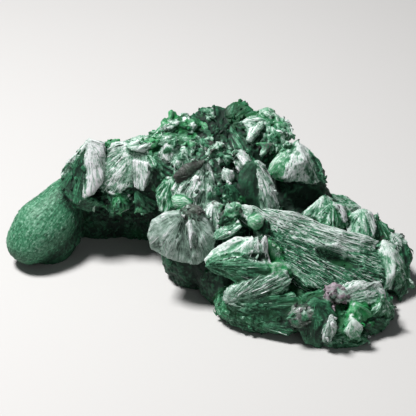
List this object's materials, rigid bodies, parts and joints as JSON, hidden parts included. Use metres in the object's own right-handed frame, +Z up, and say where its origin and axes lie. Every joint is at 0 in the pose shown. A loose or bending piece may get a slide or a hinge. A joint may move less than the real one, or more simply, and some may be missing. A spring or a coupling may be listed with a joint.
{
  "type": "fibrous malachite specimen",
  "caption": "Rough hand specimen of fibrous malachite: silky radiating sprays, small fans and rounded lobes grown into one solid that rests on its flat underside.",
  "frame": {"origin": "middle of the bounding box's base, on the surface that the specimen rests on", "axes": "+X along the specimen from the smooth foot to the frilled rim, +Z up, -Y towards the side with the long silky field"},
  "size_m": [0.082, 0.052, 0.0304],
  "materials": {
    "malachite": "silky fibrous green, pale on the fibre tips, nearly black green in the hollows, with brown and plum matrix spots"
  },
  "bodies": {
    "root": {"malachite": "malachite"}
  },
  "joints": []
}
